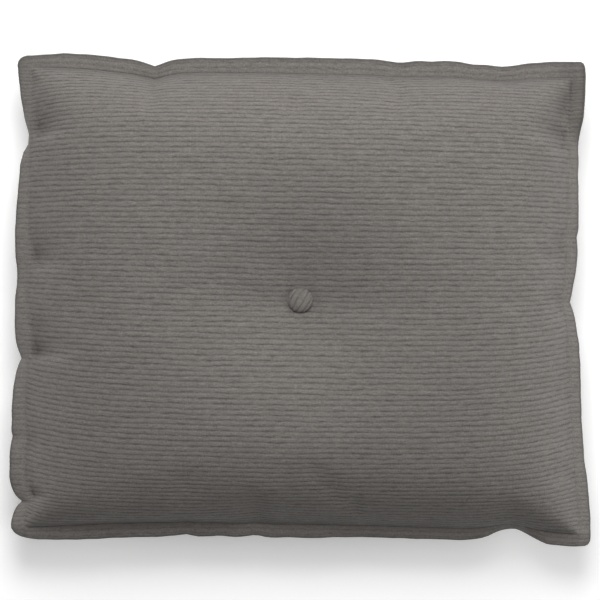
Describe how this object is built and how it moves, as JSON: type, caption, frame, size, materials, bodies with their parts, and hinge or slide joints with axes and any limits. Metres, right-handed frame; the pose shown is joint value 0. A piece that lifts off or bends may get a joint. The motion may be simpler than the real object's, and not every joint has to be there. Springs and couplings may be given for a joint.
{
  "type": "tufted back cushion",
  "caption": "Knife-edged rectangular back cushion in ribbed cloth with a puckered self flange and a covered button sewn into a shallow hollow.",
  "frame": {"origin": "under the middle of the cushion's box, on the surface that it rests on", "axes": "+X to the cushion's right seen from its face, +Y towards its head, +Z out of its face; it lies on its back"},
  "size_m": [0.599, 0.5074, 0.1493],
  "materials": {
    "ribbed_cloth": "warm grey woven polyester with fine crosswise ribs, matt",
    "button_cloth": "the same ribbed cloth drawn over a button, matt"
  },
  "bodies": {
    "root": {"cushion": "ribbed_cloth", "button": "button_cloth"}
  },
  "joints": []
}
